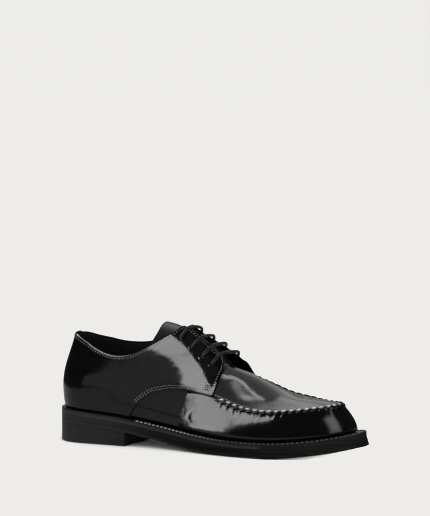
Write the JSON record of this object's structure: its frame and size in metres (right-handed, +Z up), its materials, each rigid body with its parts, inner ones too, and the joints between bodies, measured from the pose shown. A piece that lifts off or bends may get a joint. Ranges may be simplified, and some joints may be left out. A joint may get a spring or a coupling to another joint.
{
  "type": "lace-up shoe",
  "caption": "Black leather derby dress shoe with a raised apron seam, open laced facings over a tongue, a stitched welt and a low block heel.",
  "frame": {"origin": "on the floor, in the middle of the shoe's length and width", "axes": "+X to the toe, +Y to the inner side of the foot, +Z up"},
  "size_m": [0.3, 0.1024, 0.112],
  "materials": {
    "upper_leather": "polished box leather",
    "tongue_leather": "soft satin leather",
    "insole_leather": "matt sock leather",
    "welt_leather": "inked edge, satin",
    "sole_rubber": "satin moulded rubber",
    "heel_rubber": "satin moulded rubber",
    "lace_cord": "waxed round braid"
  },
  "bodies": {
    "root": {"outsole": "sole_rubber", "heel": "heel_rubber", "welt": "welt_leather", "insole": "insole_leather", "upper": "upper_leather", "quarter_outer": "upper_leather", "quarter_inner": "upper_leather", "tongue": "tongue_leather", "lace_bar_1": "lace_cord", "lace_bar_2": "lace_cord", "lace_bar_3": "lace_cord", "lace_bar_4": "lace_cord"}
  },
  "joints": []
}
